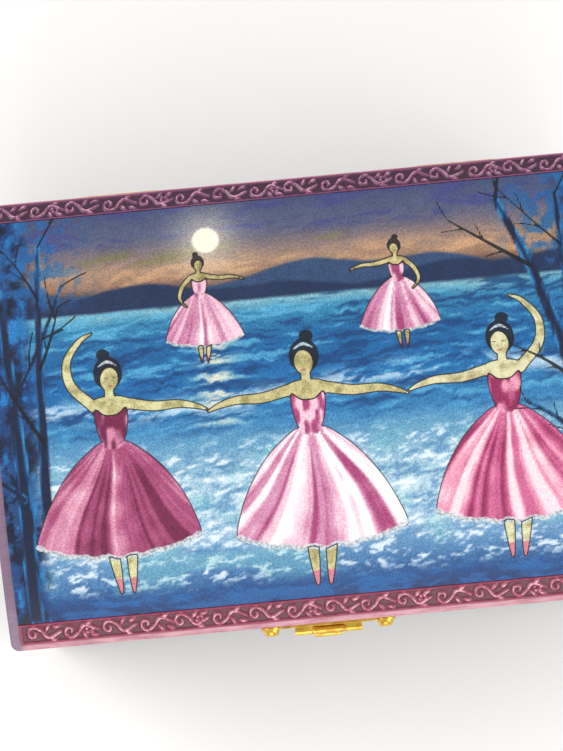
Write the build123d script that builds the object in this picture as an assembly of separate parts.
"""A musical jewellery box: a black lacquered case, a domed lid with a painted picture and two
moulded friezes, ring rolls and wells on the left, and on the right a stage whose ballerina is
turned by a comb-and-cylinder movement below it. Millimetres, +Z up, the front faces -Y, and the
origin is on the table under the middle of the case."""
from build123d import *
import math
import os

# ---- driving sizes ------------------------------------------------------------------------
case_width = 196.0
case_depth = 140.0
seam_height = 72.0  # top of the case walls
wall = 7.0
corner_round = 2.5
foot_height = 3.0
foot_radius = 6.0
panel_low = 16.0  # underside of the recessed bottom panel
panel_thick = 4.0
groove_depth = 3.0
block_side = 14.0

# lid
seam_gap = 0.4
lid_wall = 10.0
lid_edge_height = 11.6
lid_rise = 16.0
lid_skin = 3.0
picture_thick = 0.5
picture_side_margin = 3.2
frieze_width = 6.4
frieze_front_margin = 1.6
frieze_back_margin = 0.6
frieze_thick = 1.2
lining_thick = 0.8
mirror_frame_width = 160.0
mirror_frame_depth = 66.0
mirror_border = 5.0
mirror_lip = 1.5
mirror_thick = 2.0
mirror_drop = 6.2  # underside of the mirror frame below the crown of the lining

# inside of the case
board = 4.0
stage_width = 83.0
deck_thick = 3.0
velvet_thick = 0.7
divider_height = 40.0
well_divider_height = 32.0
well_pad_thick = 3.5
shelf_thick = 3.0
roll_count = 4
roll_gap = 0.6
liner_thick = 1.0
stage_mirror_width = 62.0
stage_mirror_height = 20.0
stage_mirror_thick = 2.0

# brass hardware
leaf_thick = 0.8
hinge_offset = 54.0
hinge_length = 24.0
knuckle_radius = 1.2
hinge_pin_radius = 0.55
running_gap = 0.05
part_gap = 0.2
leaf_height = 7.2
nail_radius = 0.5
nail_head_radius = 1.25
nail_head_thick = 0.5
nail_length = 4.0
clasp_lobe_offset = 17.8
clasp_lobe_radius = 3.2
clasp_plate_width = 24.0
clasp_knuckle_radius = 1.5
clasp_standoff = 0.4
clasp_pin_radius = 0.6
hasp_width = 10.0
hasp_length = 14.0
keeper_width = 18.0
catch_radius = 2.0

# movement
bed_thick = 2.0
axis_above_bed = 8.0  # of the tune cylinder
movement_room = 23.0  # from the bottom panel to the underside of the deck
great_teeth = 50
table_teeth = 20
rim_module = 0.6
great_low = 2.0  # above the bedplate
great_offset = 14.0  # of the great wheel to the right of the turntable
great_thick = 2.0
drum_radius = 10.8
drum_height = 12.0
drum_shell = 0.8
crown_teeth = 48
crown_pinion_teeth = 10
crown_face = 2.4
cylinder_radius = 6.5
cylinder_length = 23.0
comb_teeth = 18
comb_length = 21.0
comb_thick = 1.6
comb_slot = 0.3
pin_height = 0.5
train_module = 0.5
train_wheel_teeth = 28
train_pinion_teeth = 8
worm_wheel_teeth = 20
worm_starts = 3
worm_radius = 1.6
worm_thread_depth = 0.4
worm_length = 6.5
fan_radius = 4.0
fan_height = 1.8
cock_thick = 0.9
arm_thick = 0.9
pivot_radius = 0.6
train_arbor_radius = 0.8
cylinder_arbor_radius = 1.2
spindle_radius = 1.5
arbor_radius = 2.2
key_span = 22.0
stop_pin_radius = 1.2
brake_reach = 0.7
mesh_play = 0.1
screw_radius = 1.2

# ballerina
table_radius = 11.0
table_shift = 2.5  # of the turntable to the right of the stage's middle
table_thick = 1.5
spring_height = 5.0
spring_radius = 1.9
spring_wire = 0.5
head_clearance = 2.5
tutu_radius = 11.5

# ---- places that follow from them ----------------------------------------------------------
half_width = case_width / 2
half_depth = case_depth / 2
front = -half_depth
back = half_depth
inner_x = half_width - wall
inner_y = half_depth - wall
panel_top = panel_low + panel_thick
lid_low = seam_height + seam_gap
spring_line = lid_low + lid_edge_height
dome_radius = (half_depth**2 + lid_rise**2) / (2 * lid_rise)
dome_centre = spring_line + lid_rise - dome_radius
lining_radius = dome_radius - lid_skin - lining_thick
mirror_low = dome_centre + lining_radius - mirror_drop
partition_right = inner_x - stage_width
partition_left = partition_right - board
hinge_y = back + knuckle_radius + part_gap
hinge_z = seam_height + seam_gap / 2
clasp_y = front - clasp_knuckle_radius - clasp_standoff
clasp_z = lid_low + 2.6
keeper_z = seam_height - 6.5
bed_top = panel_top + bed_thick
deck_low = panel_top + movement_room
deck_top = deck_low + deck_thick
velvet_top = deck_top + velvet_thick
shelf_top = deck_top
divider_top = panel_top + divider_height
table_x = inner_x - stage_width / 2 + table_shift
table_y = 0.0
rim_distance = rim_module * (great_teeth + table_teeth) / 2 + mesh_play
great_x = table_x + great_offset
great_y = table_y + math.sqrt(rim_distance**2 - great_offset**2)
cylinder_z = bed_top + axis_above_bed
cylinder_y = great_y
crown_radius = rim_module * crown_teeth / 2
crown_pinion_radius = rim_module * crown_pinion_teeth / 2
crown_pitch_z = cylinder_z - crown_pinion_radius
crown_pinion_high = great_x - crown_radius + crown_face / 2
crown_pinion_low = crown_pinion_high - crown_face
right_bearing_high = crown_pinion_low - 1.2
bearing_thick = 1.8
cylinder_high = right_bearing_high - bearing_thick - 0.8
cylinder_low = cylinder_high - cylinder_length
left_bearing_high = cylinder_low - 0.8
train_wheel_high = left_bearing_high - bearing_thick - 0.6
train_wheel_thick = 1.2
train_y = cylinder_y - train_module * (train_wheel_teeth + train_pinion_teeth) / 2 - mesh_play
worm_x = train_wheel_high - 4.6
worm_wheel_radius = train_module * worm_wheel_teeth / 2
worm_y = train_y - worm_wheel_radius - worm_radius
worm_low = cylinder_z - worm_length / 2
fan_low = cylinder_z + worm_wheel_radius + 0.7
fan_high = fan_low + fan_height
cock_low = fan_high + 0.3
worm_top = cock_low + cock_thick + 0.25
arm_low = worm_top + brake_reach
arm_high = arm_low + arm_thick
stop_y = -inner_y + stop_pin_radius + 0.3
table_low = velvet_top + 0.3
doll_low = table_low + table_thick + spring_height
doll_high = mirror_low - head_clearance
doll_height = doll_high - doll_low
key_low = foot_height + 2.0
key_high = panel_low - 1.5


# ---- small tools ---------------------------------------------------------------------------
def slab(x_range, y_range, z_range):
    """A block between three pairs of faces."""
    pairs = (x_range, y_range, z_range)
    middle = [(low + high) / 2 for low, high in pairs]
    return Pos(*middle) * Box(*[high - low for low, high in pairs])


def post(x, y, z_range, radius):
    """A round bar standing upright."""
    low, high = z_range
    return Pos(x, y, (low + high) / 2) * Cylinder(radius, high - low)


def rod_x(x_range, y, z, radius):
    """A round bar lying along X."""
    low, high = x_range
    return Pos((low + high) / 2, y, z) * Rot(0, 90, 0) * Cylinder(radius, high - low)


def rod_y(x, y_range, z, radius):
    """A round bar lying along Y."""
    low, high = y_range
    return Pos(x, (low + high) / 2, z) * Rot(90, 0, 0) * Cylinder(radius, high - low)


def dome(radius, half_length):
    """The solid barrel whose top is the lid's arch, at one of its radii."""
    return rod_x((-half_length, half_length), 0, dome_centre, radius)


def arch(outer, inner, half_x, y_range):
    """A strip of the lid's arch between two radii and two distances across it."""
    strip = slab((-half_x, half_x), y_range, (lid_low, spring_line + 2 * lid_rise))
    return (dome(outer, half_x) - dome(inner, half_x + 1)) & strip


def limb(start, end, start_radius, end_radius):
    """A tapered round limb between two points, with ball ends."""
    axis = Vector(*end) - Vector(*start)
    plane = Plane(origin=start, z_dir=axis)
    if abs(start_radius - end_radius) < 1e-6:
        cone = Solid.make_cylinder(start_radius, axis.length, plane)
    else:
        cone = Solid.make_cone(start_radius, end_radius, axis.length, plane)
    return cone + Pos(*start) * Sphere(start_radius) + Pos(*end) * Sphere(end_radius)


def gear(teeth, module, thick, depth=0.8, thin=0.2, turn=0.0):
    """A spur gear standing on Z = 0 about the origin. A tooth's centre points along +X before turn."""
    pitch = teeth * module / 2
    half_tooth = math.pi / (2 * teeth) - thin * module / pitch
    tip = pitch + depth * module
    root = pitch - (depth + 0.25) * module
    flank = math.tan(math.radians(20)) * depth * module / pitch
    profile = (
        (root, -half_tooth - flank),
        (pitch, -half_tooth),
        (tip, -half_tooth + flank),
        (tip, half_tooth - flank),
        (pitch, half_tooth),
        (root, half_tooth + flank),
    )
    points = []
    for tooth in range(teeth):
        centre = 2 * math.pi * tooth / teeth + math.radians(turn)
        for radius, angle in profile:
            points.append((radius * math.cos(centre + angle), radius * math.sin(centre + angle)))
    return extrude(make_face(Polyline(*points, close=True)), thick)


def along_x(shape, x, y, z):
    """Lays a shape that stands on Z = 0 down, so that it starts at x and runs along +X."""
    return Pos(x, y, z) * Rot(0, 90, 0) * shape


def write(name, *solids):
    """One STEP file per node. Several shapes are a group of separate solids."""
    shape = solids[0] if len(solids) == 1 else Compound(children=list(solids))
    shape.label = name
    export_step(shape, os.path.join("parts", name + ".step"))


# ---- brass nails, cut from what they hold ---------------------------------------------------
def nail(x, face_y, z, outward):
    """A nail driven along Y into a face. outward is -1 at the front and +1 at the back."""
    shank = rod_y(x, sorted((face_y, face_y - outward * nail_length)), z, nail_radius)
    head = rod_y(x, sorted((face_y, face_y + outward * nail_head_thick)), z, nail_head_radius)
    return shank + head


def hinge_nails(z):
    """Two nails through each of the two hinge leaves."""
    step = hinge_length / 3
    places = [side * hinge_offset + way * step for side in (-1, 1) for way in (-1, 1)]
    return [nail(x, back + leaf_thick, z, 1) for x in places]


body_leaf_high = seam_height - 0.8
lid_leaf_low = lid_low + 0.6
body_leaf_z = body_leaf_high - leaf_height / 2
lid_leaf_z = lid_leaf_low + min(leaf_height, lid_edge_height - 2) / 2
case_nails = hinge_nails(body_leaf_z) + [
    nail(side * (keeper_width / 2 - 2.2), front - leaf_thick, keeper_z, -1) for side in (-1, 1)
]
lid_nails = hinge_nails(lid_leaf_z)


def clasp_dome_nail(x):
    """A large round-headed nail at one end of the clasp plate."""
    head = Pos(x, front - leaf_thick, clasp_plate_z) * Sphere(2.5)
    head &= slab((x - 3, x + 3), (front - leaf_thick - 2, front - leaf_thick), (lid_low, spring_line))
    shank = rod_y(x, (front - leaf_thick, front + nail_length), clasp_plate_z, nail_radius)
    return head + shank


clasp_plate_z = clasp_z + 4.0
clasp_nails = [clasp_dome_nail(side * clasp_lobe_offset) for side in (-1, 1)]


def without(shape, cutters):
    """The shape less each of the cutters."""
    for cutter in cutters:
        shape -= cutter
    return shape


# ---- case -----------------------------------------------------------------------------------
def bottom_blank():
    """The bottom panel with its edges in the wall grooves, before its holes."""
    return slab(
        (-inner_x - groove_depth, inner_x + groove_depth),
        (-inner_y - groove_depth, inner_y + groove_depth),
        (panel_low, panel_top),
    )


def long_wall(side):
    """The front or back wall: side is -1 at the front. Its outer corners are rounded."""
    faces = sorted((side * half_depth, side * inner_y))
    board_shape = slab((-half_width, half_width), faces, (foot_height, seam_height))
    corners = [e for e in board_shape.edges().filter_by(Axis.Z) if abs(e.center().Y) > inner_y + 1]
    board_shape = fillet(corners, corner_round)
    return without(board_shape - bottom_blank(), case_nails)


def short_wall(side):
    """The left or right wall, between the long ones: side is -1 on the left."""
    faces = sorted((side * half_width, side * inner_x))
    return slab(faces, (-inner_y, inner_y), (foot_height, seam_height)) - bottom_blank()


def movement_screw_places():
    """The three screws that hold the bedplate to the bottom panel."""
    return ((table_x - 26, table_y - 9), (great_x + 12, great_y - 17), (great_x + 12, great_y + 18))


def bottom_panel():
    """The recessed panel, with holes for the winding arbor, the bed screws and the sound."""
    panel = bottom_blank() - post(great_x, great_y, (panel_low, panel_top), arbor_radius + 0.8)
    for x, y in movement_screw_places():
        panel -= post(x, y, (panel_low, panel_top), screw_radius)
    for step in range(-2, 3):
        panel -= slab((table_x + 6 * step - 1.2, table_x + 6 * step + 1.2), (-50, -26), (panel_low, panel_top))
    return panel


def corner_places():
    """The middles of the four glue blocks."""
    x = inner_x - block_side / 2
    y = inner_y - block_side / 2
    return [(sx * x, sy * y) for sx in (-1, 1) for sy in (-1, 1)]


def corner_block(x, y):
    """A block glued under the bottom panel in a corner of the case."""
    half = block_side / 2
    return slab((x - half, x + half), (y - half, y + half), (foot_height, panel_low))


def foot(x, y):
    """A turned bun foot under a glue block."""
    bun = post(x, y, (0, foot_height), foot_radius)
    return fillet(bun.edges().filter_by(GeomType.CIRCLE), foot_height * 0.3)


write("front_wall", long_wall(-1))
write("back_wall", long_wall(1))
write("left_wall", short_wall(-1))
write("right_wall", short_wall(1))
write("bottom_panel", bottom_panel())
write("corner_blocks", *[corner_block(x, y) for x, y in corner_places()])
write("feet", *[foot(x, y) for x, y in corner_places()])


# ---- inside of the case ---------------------------------------------------------------------
def ring_rolls():
    """Foam rolls side by side on the shelf, each flat underneath."""
    low = board / 2 + roll_gap
    pitch = (inner_y - liner_thick - low) / roll_count
    radius = pitch / 2 - roll_gap / 2
    x_range = (-inner_x + liner_thick + roll_gap, partition_left - roll_gap)
    rolls = []
    for number in range(roll_count):
        y = low + pitch * (number + 0.5)
        z = shelf_top + radius * 0.8
        roll = rod_x(x_range, y, z, radius)
        rolls.append(roll & slab(x_range, (y - radius, y + radius), (shelf_top, z + radius)))
    return rolls


def well_ranges():
    """The X ranges of the two front wells, between their divider's faces."""
    middle = (-inner_x + liner_thick + partition_left) / 2
    return ((-inner_x + liner_thick, middle - board / 2), (middle + board / 2, partition_left))


def well_pad(x_range):
    """The padded floor of one well."""
    x_low, x_high = x_range
    y_range = (-inner_y + liner_thick + 0.4, -board / 2 - 0.4)
    pad = slab((x_low + 0.4, x_high - 0.4), y_range, (panel_top, panel_top + well_pad_thick))
    return fillet(pad.edges().filter_by(Axis.Z), 3)


def jewel_liner():
    """Velvet-covered card along the front and left walls, and above the shelf at the back."""
    x_low = -inner_x
    high = seam_height - 3
    return (
        slab((x_low, x_low + liner_thick), (-inner_y, inner_y), (shelf_top, high))
        + slab((x_low, x_low + liner_thick), (-inner_y, -board / 2), (panel_top, shelf_top)),
        slab((x_low + liner_thick, partition_left), (-inner_y, -inner_y + liner_thick), (panel_top, high)),
        slab((x_low + liner_thick, partition_left), (inner_y - liner_thick, inner_y), (shelf_top, high)),
    )


def stage_liner():
    """Velvet-covered card on the three walls round the stage."""
    low = velvet_top
    high = seam_height - 3
    side = (partition_right, inner_x - liner_thick)
    front_card = slab(side, (-inner_y, -inner_y + liner_thick), (low, high))
    notch = post(worm_x, stop_y, (low, high), stop_pin_radius + part_gap)
    return (
        front_card - notch,
        slab(side, (inner_y - liner_thick, inner_y), (low, high)),
        slab((inner_x - liner_thick, inner_x), (-inner_y, inner_y), (low, high)),
    )


def stage_board(z_range):
    """A sheet over the movement, with holes for the spindle and the stop pin."""
    sheet = slab((partition_right, inner_x), (-inner_y, inner_y), z_range)
    sheet -= post(table_x, table_y, z_range, spindle_radius + 0.6)
    return sheet - post(worm_x, stop_y, z_range, stop_pin_radius + running_gap)


def stage_mirror():
    """A bevelled mirror standing on the stage against the back liner."""
    middle = (partition_right + inner_x - liner_thick) / 2
    face = inner_y - liner_thick
    glass = slab(
        (middle - stage_mirror_width / 2, middle + stage_mirror_width / 2),
        (face - stage_mirror_thick, face),
        (velvet_top, velvet_top + stage_mirror_height),
    )
    rim = [e for e in glass.edges() if abs(e.center().Y - (face - stage_mirror_thick)) < 0.01]
    return chamfer(rim, 1.5, 0.9, reference=glass.faces().sort_by(Axis.Y)[0])


write("partition", slab((partition_left, partition_right), (-inner_y, inner_y), (panel_top, divider_top)))
write(
    "cross_divider",
    slab(
        (-inner_x + liner_thick, partition_left),
        (-board / 2, board / 2),
        (panel_top, divider_top - 2),
    ),
)
well_left, well_right = well_ranges()
write(
    "well_divider",
    slab(
        (well_left[1], well_right[0]),
        (-inner_y + liner_thick, -board / 2),
        (panel_top, panel_top + well_divider_height),
    ),
)
write("ring_shelf", slab((-inner_x, partition_left), (board / 2, inner_y), (shelf_top - shelf_thick, shelf_top)))
for number, roll in enumerate(ring_rolls(), 1):
    write(f"ring_roll_{number}", roll)
write("well_pad_left", well_pad(well_left))
write("well_pad_right", well_pad(well_right))
write("jewel_liner", *jewel_liner())
write("stage_deck", stage_board((deck_low, deck_top)))
write("deck_velvet", stage_board((deck_top, velvet_top)))
write("stage_liner", *stage_liner())
write("stage_mirror", stage_mirror())


# ---- lid --------------------------------------------------------------------------------------
def lid_block(x_range, y_range):
    """A piece of the lid's frame, its top cut to the underside of the arched panel."""
    return slab(x_range, y_range, (lid_low, spring_line + lid_rise)) & dome(dome_radius - lid_skin, half_width)


def lid_rail(side):
    """The front or back rail of the lid. Its outer corners are rounded like the case's."""
    faces = sorted((side * half_depth, side * (half_depth - lid_wall)))
    rail = lid_block((-half_width, half_width), faces)
    corners = [e for e in rail.edges().filter_by(Axis.Z) if abs(e.center().Y) > half_depth - 1]
    return without(fillet(corners, corner_round), lid_nails + clasp_nails)


def lid_end(side):
    """An end board of the lid, between the rails: side is -1 on the left."""
    faces = sorted((side * half_width, side * (half_width - lid_wall)))
    inner = half_depth - lid_wall
    return lid_block(faces, (-inner, inner))


def lid_panel():
    """The arched top. It ends flush with the rails and ends below it."""
    panel = arch(dome_radius, dome_radius - lid_skin, half_width, (front, back))
    corners = [e for e in panel.edges().filter_by(Axis.Z) if abs(e.center().X) > half_width - 0.01]
    return without(fillet(corners, corner_round), lid_nails)


def mirror_opening(margin, z_range):
    """The window of the mirror frame, smaller by margin on each side than the mirror."""
    half_x = mirror_frame_width / 2 - mirror_border - margin
    half_y = mirror_frame_depth / 2 - mirror_border - margin
    return slab((-half_x, half_x), (-half_y, half_y), z_range)


def mirror_frame():
    """The frame that holds the mirror under the crown of the lid."""
    half_x = mirror_frame_width / 2
    half_y = mirror_frame_depth / 2
    frame = slab((-half_x, half_x), (-half_y, half_y), (mirror_low, spring_line + lid_rise))
    frame &= dome(lining_radius, half_width)
    frame -= mirror_opening(mirror_lip, (mirror_low, mirror_low + 1))
    return frame - mirror_opening(0, (mirror_low + 1, spring_line + lid_rise))


picture_front = front + frieze_front_margin + frieze_width
picture_back = back - frieze_back_margin - frieze_width
lining_half_depth = half_depth - lid_wall
write("lid_front_rail", lid_rail(-1))
write("lid_back_rail", lid_rail(1))
write("lid_end_left", lid_end(-1))
write("lid_end_right", lid_end(1))
write("lid_panel", lid_panel())
write(
    "picture_panel",
    arch(
        dome_radius + picture_thick,
        dome_radius,
        half_width - picture_side_margin,
        (picture_front, picture_back),
    ),
)
frieze_edges = {
    "frieze_front": (picture_front - frieze_width, picture_front),
    "frieze_back": (picture_back, picture_back + frieze_width),
}
for name, edges in frieze_edges.items():
    write(name, arch(dome_radius + frieze_thick, dome_radius, half_width - picture_side_margin, edges))
write(
    "lid_lining",
    arch(dome_radius - lid_skin, lining_radius, half_width - lid_wall, (-lining_half_depth, lining_half_depth)),
)
write("mirror_frame", mirror_frame())
write("lid_mirror", mirror_opening(0, (mirror_low + 1, mirror_low + 1 + mirror_thick)))


# ---- hinges -----------------------------------------------------------------------------------
def hinge_leaf(offset, z_range, x_ranges, bore):
    """One leaf on the back face, with the knuckles that x_ranges name, measured from its middle.
    The leaf is cut back all along the other leaf's knuckles, and reaches its own by webs."""
    half = hinge_length / 2
    length = (offset - half, offset + half)
    leaf = slab(length, (back, back + leaf_thick), z_range)
    leaf -= rod_x(length, hinge_y, hinge_z, knuckle_radius + part_gap)
    leaf_edge = z_range[1] - 0.5 if z_range[1] < hinge_z else z_range[0] + 0.5
    for low, high in x_ranges:
        span = (offset + low, offset + high)
        leaf += rod_x(span, hinge_y, hinge_z, knuckle_radius)
        leaf += slab(span, (back + part_gap, back + leaf_thick), sorted((hinge_z, leaf_edge)))
    return leaf - rod_x(length, hinge_y, hinge_z, bore)


def hinge_pin(offset):
    """The pin through one hinge's knuckles, with a small head at each end."""
    half = hinge_length / 2
    pin = rod_x((offset - half, offset + half), hinge_y, hinge_z, hinge_pin_radius)
    for side in (-1, 1):
        ends = sorted((offset + side * half, offset + side * (half + 0.8)))
        pin += rod_x(ends, hinge_y, hinge_z, hinge_pin_radius * 1.5)
    return pin


third = hinge_length / 6
outer_knuckles = ((-hinge_length / 2, -third), (third, hinge_length / 2))
inner_knuckle = ((-third + part_gap, third - part_gap),)
body_leaf_range = (body_leaf_high - leaf_height, body_leaf_high)
lid_leaf_range = (lid_leaf_low, lid_leaf_low + min(leaf_height, lid_edge_height - 2))
body_leaves = []
lid_leaves = []
for offset in (-hinge_offset, hinge_offset):
    body_leaf = hinge_leaf(offset, body_leaf_range, outer_knuckles, hinge_pin_radius)
    lid_leaf = hinge_leaf(offset, lid_leaf_range, inner_knuckle, hinge_pin_radius + running_gap)
    body_leaves.append(without(body_leaf, case_nails))
    lid_leaves.append(without(lid_leaf, lid_nails))
write("hinge_body_leaves", *body_leaves)
write("hinge_lid_leaves", *lid_leaves)
write("hinge_pins", hinge_pin(-hinge_offset), hinge_pin(hinge_offset))
write("case_brass_nails", *case_nails)
write("lid_brass_nails", *lid_nails)


# ---- clasp ------------------------------------------------------------------------------------
def clasp_plate():
    """The lobed plate nailed to the lid's front rail, with the two outer knuckles."""
    plate_y = (front - leaf_thick, front)
    half = clasp_plate_width / 2
    plate = slab((-half, half), plate_y, (clasp_z + 0.4, clasp_plate_z + 3.4))
    plate += slab((-clasp_lobe_offset, clasp_lobe_offset), plate_y, (clasp_plate_z - 1.8, clasp_plate_z + 1.8))
    for side in (-1, 1):
        plate += rod_y(side * clasp_lobe_offset, plate_y, clasp_plate_z, clasp_lobe_radius)
        span = sorted((side * (hasp_width / 2 + part_gap), side * (half - 1.5)))
        plate += rod_x(span, clasp_y, clasp_z, clasp_knuckle_radius)
        plate += slab(span, (clasp_y, front), (clasp_z, clasp_z + clasp_knuckle_radius))
    plate -= rod_x((-half, half), clasp_y, clasp_z, clasp_pin_radius)
    plate -= slab((-hasp_width / 2 - part_gap, hasp_width / 2 + part_gap), plate_y, (lid_low, clasp_z + 1.8))
    return without(plate, clasp_nails)


def clasp_hasp():
    """The swinging tongue: a knuckle, a shield with a window, and a rolled finger lip."""
    half = hasp_width / 2
    tongue_y = (clasp_y - clasp_knuckle_radius + 0.1, clasp_y - clasp_knuckle_radius + 0.9)
    low = clasp_z - hasp_length
    tongue = slab((-half, half), tongue_y, (low, clasp_z))
    tongue += rod_y(0, tongue_y, keeper_z, half + 1.4)
    tongue -= rod_y(0, tongue_y, keeper_z, catch_radius + 0.5)
    tongue += rod_x((-half + 0.6, half - 0.6), tongue_y[0] - 0.2, low, 1.1)
    tongue += rod_x((-half, half), clasp_y, clasp_z, clasp_knuckle_radius)
    return tongue - rod_x((-half, half), clasp_y, clasp_z, clasp_pin_radius + running_gap)


def keeper_plate():
    """The plate on the case front, with the round catch that the tongue snaps over."""
    plate_y = (front - leaf_thick, front)
    half = keeper_width / 2
    plate = slab((-half + 3, half - 3), plate_y, (keeper_z - 4.6, keeper_z + 4.6))
    for side in (-1, 1):
        plate += rod_y(side * (half - 3), plate_y, keeper_z, 3)
        plate += slab(sorted((0, side * (half - 3))), plate_y, (keeper_z - 3, keeper_z + 3))
    catch = rod_y(0, (clasp_y + 0.1, front), keeper_z, catch_radius)
    return without(plate + catch, case_nails)


write("clasp_plate", clasp_plate())
write("clasp_dome_nails", *clasp_nails)
write("clasp_hasp", clasp_hasp())
pin_half = clasp_plate_width / 2 - 1.5
write("clasp_pin", rod_x((-pin_half, pin_half), clasp_y, clasp_z, clasp_pin_radius))
write("keeper_plate", keeper_plate())


# ---- movement: bedplate and comb -----------------------------------------------------------------
comb_low_y = cylinder_y + cylinder_radius + pin_height + 0.25
comb_high_y = comb_low_y + comb_length
comb_seat_y = comb_low_y + comb_length * 0.55
comb_low = cylinder_z - 0.3
comb_screw_places = [(x, comb_high_y - 4) for x in (cylinder_low + 4, cylinder_high - 4)]


def bearing(x_range, y_range, bores):
    """An upright bearing plate on the bedplate. bores holds (y, radius) for each arbor through it."""
    plate = slab(x_range, y_range, (bed_top, cylinder_z + 3))
    for y, radius in bores:
        plate -= rod_x(x_range, y, cylinder_z, radius + running_gap)
    return plate


def bedplate():
    """The cast bedplate with the seat of the comb and the two cylinder bearings."""
    bed = slab((partition_right + 1.5, inner_x - 3), (worm_y - 11, comb_high_y + 1), (panel_top, bed_top))
    bed += slab((cylinder_low, cylinder_high), (comb_seat_y, comb_high_y), (bed_top, comb_low))
    right = (right_bearing_high - bearing_thick, right_bearing_high)
    left = (left_bearing_high - bearing_thick, left_bearing_high)
    bed += bearing(right, (cylinder_y - 3.5, cylinder_y + 3.5), [(cylinder_y, cylinder_arbor_radius)])
    both = [(cylinder_y, cylinder_arbor_radius), (train_y, train_arbor_radius)]
    bed += bearing(left, (train_y - 3, cylinder_y + 3.5), both)
    bed -= post(great_x, great_y, (panel_top, bed_top), arbor_radius + running_gap)
    bed -= post(table_x, table_y, (panel_top, bed_top), spindle_radius + running_gap)
    bed -= post(worm_x, worm_y, (panel_top, bed_top), pivot_radius + running_gap)
    return without(bed, movement_screws())


def movement_screws():
    """Three screws up through the bottom panel and two down through the comb, one shape each."""
    screws = []
    for x, y in movement_screw_places():
        head = post(x, y, (panel_low - 1.2, panel_low), screw_radius * 2)
        screws.append(head + post(x, y, (panel_low, bed_top), screw_radius))
    for x, y in comb_screw_places:
        head = post(x, y, (comb_low + comb_thick, comb_low + comb_thick + 1), screw_radius * 1.7)
        screws.append(head + post(x, y, (bed_top + 1, comb_low + comb_thick), screw_radius))
    return screws


def tune_comb():
    """The steel comb: a thick heel on its seat, and thin teeth that reach the cylinder."""
    comb = slab((cylinder_low, cylinder_high), (comb_seat_y, comb_high_y), (comb_low, comb_low + comb_thick))
    pitch = (cylinder_high - cylinder_low) / comb_teeth
    for tooth in range(comb_teeth):
        x = cylinder_low + pitch * tooth
        span = (x + comb_slot / 2, x + pitch - comb_slot / 2)
        comb += slab(span, (comb_low_y, comb_seat_y), (comb_low, comb_low + comb_thick / 2))
    return without(comb, movement_screws())


def tune_cylinder():
    """The brass cylinder with its pins, four for each tooth of the comb."""
    span = (cylinder_low, cylinder_high)
    drum = rod_x(span, cylinder_y, cylinder_z, cylinder_radius)
    drum -= rod_x(span, cylinder_y, cylinder_z, cylinder_arbor_radius)
    pitch = (cylinder_high - cylinder_low) / comb_teeth
    pins = []
    for tooth in range(comb_teeth):
        for note in range(4):
            pin = Pos(0, 0, cylinder_radius + pin_height / 2 - 0.2) * Cylinder(0.2, pin_height + 0.4)
            turn = tooth * 47 + note * 90 + 13 * (tooth % 3)
            pins.append(Pos(cylinder_low + pitch * (tooth + 0.5), cylinder_y, cylinder_z) * Rot(turn, 0, 0) * pin)
    return drum + pins


write("bedplate", bedplate())
write("movement_screws", *movement_screws())
write("tune_comb", tune_comb())
write("tune_cylinder", tune_cylinder())


# ---- movement: spring, train and governor -----------------------------------------------------
great_wheel_low = bed_top + great_low
great_wheel_high = great_wheel_low + great_thick
drum_high = great_wheel_high + drum_height
mesh_angle = math.degrees(math.atan2(table_y - great_y, table_x - great_x))


def crown_tooth(angle):
    """One upright tooth of the crown ring, pointing away from the great wheel's axis."""
    length = crown_face + 0.6
    height = crown_pitch_z + 0.3 - great_wheel_high
    tooth = Pos(crown_radius, 0, great_wheel_high + height / 2) * Box(length, 0.55, height)
    return Pos(great_x, great_y, 0) * Rot(0, 0, angle) * tooth


def great_wheel():
    """The spring drum on its wheel: rim teeth for the turntable, crown teeth for the cylinder."""
    rim = gear(great_teeth, rim_module, great_thick, turn=mesh_angle)
    wheel = Pos(great_x, great_y, great_wheel_low) * rim
    wheel += post(great_x, great_y, (great_wheel_high, drum_high), drum_radius)
    inside = (great_wheel_high, drum_high - 1)
    wheel -= post(great_x, great_y, inside, drum_radius - drum_shell)
    pitch = 360 / crown_teeth
    wheel += [crown_tooth(180 + pitch * (number + 0.5)) for number in range(crown_teeth)]
    return wheel - post(great_x, great_y, (great_wheel_low, drum_high), arbor_radius)


def mainspring():
    """The coiled steel ribbon between the arbor and the drum."""
    turns = 5
    start = arbor_radius + 0.3
    end = drum_radius - drum_shell - 0.5
    steps = 24 * turns
    thick = 0.3

    def spiral(extra):
        points = []
        for step in range(steps + 1):
            radius = start + (end - start) * step / steps + extra
            angle = 2 * math.pi * step / 24
            points.append((radius * math.cos(angle), radius * math.sin(angle)))
        return points

    outline = spiral(thick) + spiral(0)[::-1]
    ribbon = extrude(make_face(Polyline(*outline, close=True)), drum_height - 2)
    return Pos(great_x, great_y, great_wheel_high + 0.5) * ribbon


def winding_key():
    """A butterfly key: a hub on the arbor's end and two ring-shaped wings."""
    key = post(great_x, great_y, (key_low + 3, key_high), 3.6)
    middle = (key_low + key_high) / 2
    for side in (-1, 1):
        x = great_x + side * key_span / 4
        wing = rod_y(x, (great_y - 0.9, great_y + 0.9), middle, key_span / 4)
        wing &= slab((x - key_span / 4, x + key_span / 4), (great_y - 1, great_y + 1), (key_low, key_high))
        key += wing - rod_y(x + side * 0.8, (great_y - 0.9, great_y + 0.9), middle, key_span / 4 - 3)
    return key - post(great_x, great_y, (key_low, key_high), arbor_radius)


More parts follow.
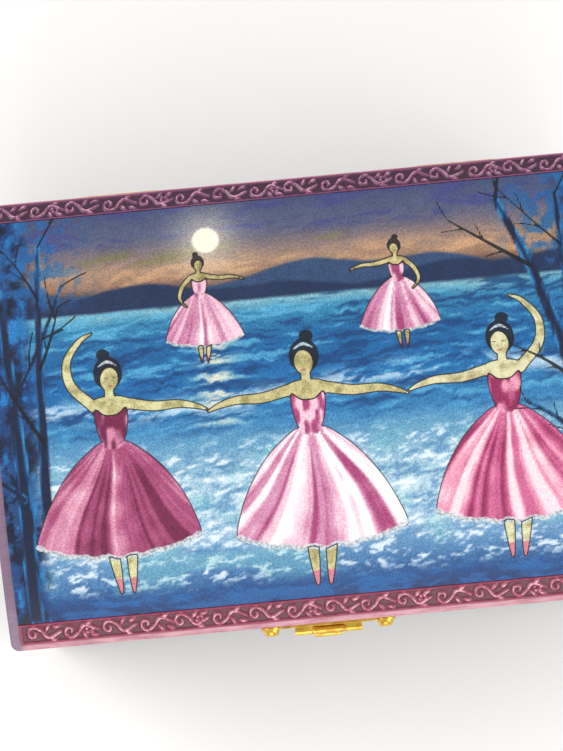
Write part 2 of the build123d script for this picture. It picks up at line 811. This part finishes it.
def cylinder_arbor():
    """The cylinder's arbor, with the train wheel at its left end and the crown pinion at its right."""
    span = (train_wheel_high - train_wheel_thick - 0.6, crown_pinion_high + 0.4)
    arbor = rod_x(span, cylinder_y, cylinder_z, cylinder_arbor_radius)
    wheel = gear(train_wheel_teeth, train_module, train_wheel_thick, turn=-90)
    arbor += along_x(wheel, train_wheel_high - train_wheel_thick, cylinder_y, cylinder_z)
    pinion = gear(crown_pinion_teeth, rim_module, crown_face, thin=0.3)
    return arbor + along_x(pinion, crown_pinion_low, cylinder_y, cylinder_z)


def train_wheel():
    """The pinion that the cylinder drives, and the wheel that drives the worm."""
    span = (worm_x - 4, left_bearing_high - 0.2)
    arbor = rod_x(span, train_y, cylinder_z, train_arbor_radius)
    pinion = gear(train_pinion_teeth, train_module, train_wheel_thick + 0.6, turn=90 + 180 / train_pinion_teeth)
    arbor += along_x(pinion, train_wheel_high - train_wheel_thick - 0.3, train_y, cylinder_z)
    wheel = gear(worm_wheel_teeth, train_module, 0.8, thin=0.25, turn=-90)
    return arbor + along_x(wheel, worm_x - 0.4, train_y, cylinder_z)


def governor_worm():
    """The upright worm of the governor with its two fan blades."""
    core = worm_radius - worm_thread_depth - 0.1
    shaft = post(worm_x, worm_y, (panel_top + 0.5, worm_top), pivot_radius)
    shaft += post(worm_x, worm_y, (worm_low - 0.4, fan_low + 0.4), core)
    axial_pitch = math.pi * train_module
    lead = axial_pitch * worm_starts
    path = Helix(pitch=lead, height=worm_length, radius=core)
    section = Polyline((-0.15, -0.3), (0.9, -0.14), (0.9, 0.14), (-0.15, 0.3), close=True)
    plane = Plane(origin=path @ 0, x_dir=(1, 0, 0), z_dir=path % 0)
    thread = sweep(plane * make_face(section), path=path, is_frenet=True)
    first = (worm_length / 2 - lead / 4) / axial_pitch
    worm_turn = (math.floor(first) + 0.5 - first) * 360 / worm_starts
    for start in range(worm_starts):
        shaft += Pos(worm_x, worm_y, worm_low) * Rot(0, 0, worm_turn + 360 * start / worm_starts) * thread
    middle = (worm_y - 0.25, worm_y + 0.25)
    return shaft + slab((worm_x - fan_radius, worm_x + fan_radius), middle, (fan_low, fan_high))


def governor_cock():
    """The bracket that holds the worm's upper pivot and the train wheel's left one."""
    left = worm_x - 4.2
    cock_y = (worm_y - 9, worm_y - 6)
    cock = slab((left, worm_x + 2), cock_y, (bed_top, bed_top + 1.2))
    cock += slab((worm_x - 2, worm_x + 2), cock_y, (bed_top, cock_low + cock_thick))
    cock += slab((worm_x - 2, worm_x + 2), (worm_y - 9, worm_y + 2), (cock_low, cock_low + cock_thick))
    cock -= post(worm_x, worm_y, (cock_low, cock_low + cock_thick), pivot_radius + running_gap)
    cock += slab((left, left + 1.4), (worm_y - 9, train_y + 2.5), (bed_top, bed_top + 1.2))
    cheek = slab((left, left + 1.4), (train_y - 2.5, train_y + 2.5), (bed_top, cylinder_z + 2.5))
    return cock + cheek - rod_x((left, left + 1.4), train_y, cylinder_z, train_arbor_radius + running_gap)


def turntable_spindle():
    """The upright spindle with its pinion below the deck and the turntable above it."""
    pinion = gear(table_teeth, rim_module, great_thick, turn=mesh_angle + 180 + 180 / table_teeth)
    spindle = Pos(table_x, table_y, great_wheel_low - 0.2) * pinion
    spindle += post(table_x, table_y, (panel_top + 0.5, table_low), spindle_radius)
    table = post(table_x, table_y, (table_low, table_low + table_thick), table_radius)
    upper = table.edges().filter_by(GeomType.CIRCLE).sort_by(Axis.Z)[-1]
    return spindle + fillet(upper, table_thick * 0.4)


def stop_slide():
    """The pin that the lid holds down, and the wire arm that brakes the governor."""
    slide = post(worm_x, stop_y, (arm_low, seam_height + part_gap), stop_pin_radius)
    slide += slab((worm_x - 1.1, worm_x + 1.1), (stop_y, worm_y + 1.4), (arm_low, arm_high))
    return slide + post(worm_x, worm_y, (worm_top + 0.1, arm_low), 1.1)


write("great_wheel", great_wheel())
write("mainspring", mainspring())
write("winding_arbor", post(great_x, great_y, (key_low + 3, drum_high), arbor_radius))
write("winding_key", winding_key())
write("cylinder_arbor", cylinder_arbor())
write("train_wheel", train_wheel())
write("governor_worm", governor_worm())
write("governor_cock", governor_cock())
write("turntable_spindle", turntable_spindle())
write("stop_slide", stop_slide())


# ---- ballerina ----------------------------------------------------------------------------------
def on_doll(x, y, share):
    """A point beside the ballerina's axis, at a share of her height."""
    return (table_x + x, table_y + y, doll_low + share * doll_height)


def doll_spring():
    """The coil spring that she stands on."""
    height = spring_height - spring_wire
    path = Helix(pitch=height / 4, height=height, radius=spring_radius)
    plane = Plane(origin=path @ 0, z_dir=path % 0)
    coil = sweep(plane * Circle(spring_wire / 2), path=path, is_frenet=True)
    return Pos(table_x, table_y, table_low + table_thick + spring_wire / 2) * coil


def ballerina():
    """The moulded figure, on the toe of one foot with her arms in a ring above her head."""
    scale = doll_height / 35
    parts = [
        ((0, 0, 0.02), (0, 0, 0.25), 0.5, 0.85),
        ((0, 0, 0.25), (-0.5, 0, 0.48), 0.85, 1.4),
        ((0.9, 0, 0.47), (5.0, -2.0, 0.36), 1.3, 0.85),
        ((5.0, -2.0, 0.36), (0.9, -0.4, 0.24), 0.8, 0.45),
        ((0, 0, 0.49), (0, 0, 0.58), 1.9, 1.3),
        ((0, 0, 0.58), (0, 0, 0.68), 1.3, 1.75),
        ((0, 0, 0.70), (0, 0, 0.80), 0.75, 0.7),
        ((0, 0, 0.825), (0, 0, 0.845), 1.7, 1.7),
        ((0, 1.2, 0.88), (0, 1.3, 0.89), 0.9, 0.9),
    ]
    for side in (-1, 1):
        parts.append(((side * 1.7, 0, 0.70), (side * 4.4, -0.6, 0.82), 0.65, 0.5))
        parts.append(((side * 4.4, -0.6, 0.82), (side * 0.9, -1.0, 0.97), 0.5, 0.35))
    figure = post(table_x, table_y, (doll_low, doll_low + 0.8), spring_radius + 0.5)
    for start, end, start_radius, end_radius in parts:
        figure += limb(on_doll(*start), on_doll(*end), start_radius * scale, end_radius * scale)
    return figure


def tutu():
    """The gathered tulle skirt, as a hollow cone round her waist."""
    waist = doll_low + 0.575 * doll_height
    hem = waist - 0.16 * doll_height
    thick = 1.6
    outline = Polyline(
        (2.1, waist - thick),
        (2.1, waist),
        (tutu_radius * 0.6, waist - 0.02 * doll_height),
        (tutu_radius, hem),
        (tutu_radius - 0.6, hem - thick * 0.6),
        (tutu_radius * 0.55, waist - 0.02 * doll_height - thick),
        close=True,
    )
    skirt = revolve(Plane.XZ * make_face(outline), axis=Axis.Z)
    return Pos(table_x, table_y, 0) * skirt


write("doll_spring", doll_spring())
write("ballerina", ballerina())
write("tutu", tutu() - ballerina())
